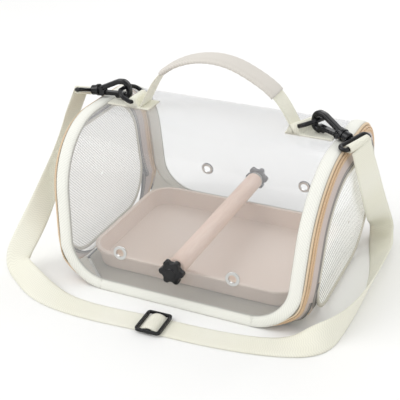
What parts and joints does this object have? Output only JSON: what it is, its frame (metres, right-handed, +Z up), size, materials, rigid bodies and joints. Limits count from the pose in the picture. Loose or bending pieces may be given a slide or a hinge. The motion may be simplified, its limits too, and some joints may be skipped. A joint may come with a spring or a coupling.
{
  "type": "bird travel carrier",
  "caption": "Soft-sided travel carrier with a clear wrap window, zipped mesh end doors, moulded tray, screw-fixed perch, top handle and clip-on shoulder strap.",
  "frame": {"origin": "centre of the base on the floor", "axes": "+X to the right-hand end door, -Y to the front window, +Z up"},
  "size_m": [0.3495, 0.2715, 0.2118],
  "materials": {
    "padded_fabric": "matte",
    "corner_fabric": "matte",
    "base_board": "matte",
    "binding": "matte",
    "mesh": "matte",
    "zip_tape": "matte",
    "zip_metal": "satin",
    "clear_window": "gloss",
    "eyelet_metal": "polished",
    "tray_plastic": "satin",
    "perch_wood": "satin",
    "insert_brass": "satin",
    "knob_plastic": "gloss",
    "stud_steel": "satin",
    "washer_plastic": "satin",
    "webbing": "matte",
    "sleeve_fabric": "matte",
    "hardware_plastic": "satin"
  },
  "bodies": {
    "bag": {"band_bottom_back": "padded_fabric", "band_bottom_front": "padded_fabric", "band_left": "padded_fabric", "band_right": "padded_fabric", "base_panel": "base_board", "base_welt_left": "binding", "base_welt_right": "binding", "corner_back_left": "corner_fabric", "corner_back_right": "corner_fabric", "corner_front_left": "corner_fabric", "corner_front_right": "corner_fabric", "eyelets_back": "eyelet_metal", "eyelets_front": "eyelet_metal", "handle_leg_left": "webbing", "handle_leg_right": "webbing", "perch_dowel": "perch_wood", "perch_inserts": "insert_brass", "shoulder_strap": "webbing", "snap_hook_left": "hardware_plastic", "snap_hook_right": "hardware_plastic", "top_anchor_left": "webbing", "top_anchor_right": "webbing", "tray": "tray_plastic", "window_wrap": "clear_window", "zip_end_back_left": "zip_tape", "zip_end_back_right": "zip_tape", "zip_end_front_left": "zip_tape", "zip_end_front_right": "zip_tape", "zip_tape_left": "zip_tape", "zip_tape_right": "zip_tape"},
    "door_left": {"door_mesh_left": "mesh", "door_piping_left": "binding", "door_tape_left": "zip_tape"},
    "zip_slider_left": {"zip_slider_left": "zip_metal"},
    "zip_pull_left": {"zip_pull_left": "zip_metal"},
    "d_ring_left": {"d_ring_left": "hardware_plastic"},
    "snap_gate_left": {"snap_gate_left": "hardware_plastic"},
    "swivel_ring_left": {"swivel_ring_left": "hardware_plastic"},
    "door_right": {"door_mesh_right": "mesh", "door_piping_right": "binding", "door_tape_right": "zip_tape"},
    "zip_slider_right": {"zip_slider_right": "zip_metal"},
    "zip_pull_right": {"zip_pull_right": "zip_metal"},
    "d_ring_right": {"d_ring_right": "hardware_plastic"},
    "snap_gate_right": {"snap_gate_right": "hardware_plastic"},
    "swivel_ring_right": {"swivel_ring_right": "hardware_plastic"},
    "handle": {"handle_webbing": "webbing", "handle_sleeve": "sleeve_fabric"},
    "washer_front": {"knob_washer_front": "washer_plastic"},
    "knob_front": {"star_knob_front": "knob_plastic", "knob_stud_front": "stud_steel"},
    "washer_back": {"knob_washer_back": "washer_plastic"},
    "knob_back": {"star_knob_back": "knob_plastic", "knob_stud_back": "stud_steel"},
    "strap_slider": {"strap_slider": "hardware_plastic"}
  },
  "joints": [
    {"name": "door_left_open", "type": "hinge", "parent": "bag", "child": "door_left", "pos_m": [-0.12, 0, 0.0026], "axis": [0, -1, 0], "range_deg": [0, 43], "deforming": ["shoulder_strap"]},
    {"name": "zip_left_slide", "type": "slide", "parent": "door_left", "child": "zip_slider_left", "axis": [-0.0608, -0.091, 0.994], "range_m": [0, 0.024]},
    {"name": "pull_left_swing", "type": "hinge", "parent": "zip_slider_left", "child": "zip_pull_left", "pos_m": [-0.13255, 0.09889, 0.05715], "axis": [0.3749, 0.9209, 0.1072], "range_deg": [0, 120]},
    {"name": "door_right_open", "type": "hinge", "parent": "bag", "child": "door_right", "pos_m": [0.12, 0, 0.0026], "axis": [0, 1, 0], "range_deg": [0, 43], "deforming": ["shoulder_strap"]},
    {"name": "zip_right_slide", "type": "slide", "parent": "door_right", "child": "zip_slider_right", "axis": [0.0608, -0.091, 0.994], "range_m": [0, 0.024]},
    {"name": "pull_right_swing", "type": "hinge", "parent": "zip_slider_right", "child": "zip_pull_right", "pos_m": [0.13255, 0.09889, 0.05715], "axis": [0.3749, -0.9209, -0.1072], "range_deg": [0, 120]},
    {"name": "handle_fold", "type": "hinge", "parent": "bag", "child": "handle", "pos_m": [0, 0, 0.155], "axis": [1, 0, 0], "range_deg": [-60, 60], "deforming": ["handle_leg_left", "handle_leg_right"]},
    {"name": "washer_front_slide", "type": "slide", "parent": "bag", "child": "washer_front", "axis": [0, -1, 0], "range_m": [0, 0.0032]},
    {"name": "knob_front_turn", "type": "hinge", "parent": "washer_front", "child": "knob_front", "pos_m": [0, -0.1055, 0.04], "axis": [0, -1, 0], "range_deg": [0, 1440]},
    {"name": "washer_back_slide", "type": "slide", "parent": "bag", "child": "washer_back", "axis": [0, 1, 0], "range_m": [0, 0.0032]},
    {"name": "knob_back_turn", "type": "hinge", "parent": "washer_back", "child": "knob_back", "pos_m": [0, 0.1055, 0.04], "axis": [0, 1, 0], "range_deg": [0, 1440]},
    {"name": "d_ring_left_swing", "type": "hinge", "parent": "bag", "child": "d_ring_left", "pos_m": [-0.088, 0, 0.1582], "axis": [0, -1, 0], "range_deg": [-3, 1]},
    {"name": "gate_left_press", "type": "hinge", "parent": "bag", "child": "snap_gate_left", "pos_m": [-0.12616, 0, 0.15821], "axis": [0, -1, 0], "range_deg": [0, 3], "stiffness_Nm_per_rad": 0.03, "springref_deg": -11.46},
    {"name": "swivel_left_turn", "type": "hinge", "parent": "bag", "child": "swivel_ring_left", "pos_m": [-0.10445, 0, 0.16467], "axis": [-0.9848, 0, -0.1736], "range_deg": [-12, 12], "deforming": ["shoulder_strap"]},
    {"name": "d_ring_right_swing", "type": "hinge", "parent": "bag", "child": "d_ring_right", "pos_m": [0.0855, 0.005, 0.1582], "axis": [0.4226, 0.9063, 0], "range_deg": [-3, 1]},
    {"name": "gate_right_press", "type": "hinge", "parent": "bag", "child": "snap_gate_right", "pos_m": [0.12008, -0.01113, 0.15821], "axis": [0.4226, 0.9063, 0], "range_deg": [0, 3], "stiffness_Nm_per_rad": 0.03, "springref_deg": -11.46},
    {"name": "swivel_right_turn", "type": "hinge", "parent": "bag", "child": "swivel_ring_right", "pos_m": [0.10041, -0.00195, 0.16467], "axis": [0.8925, -0.4162, -0.1736], "range_deg": [-12, 0], "deforming": ["shoulder_strap"]},
    {"name": "strap_slider_slide", "type": "slide", "parent": "bag", "child": "strap_slider", "axis": [0.9994, 0.0349, 0], "range_m": [-0.03, 0.03], "deforming": ["shoulder_strap"]}
  ],
  "couplings": [
    {"joint": "knob_front_turn", "follows": "washer_front_slide", "rad_per_m": 7853.9},
    {"joint": "knob_back_turn", "follows": "washer_back_slide", "rad_per_m": 7853.9}
  ]
}
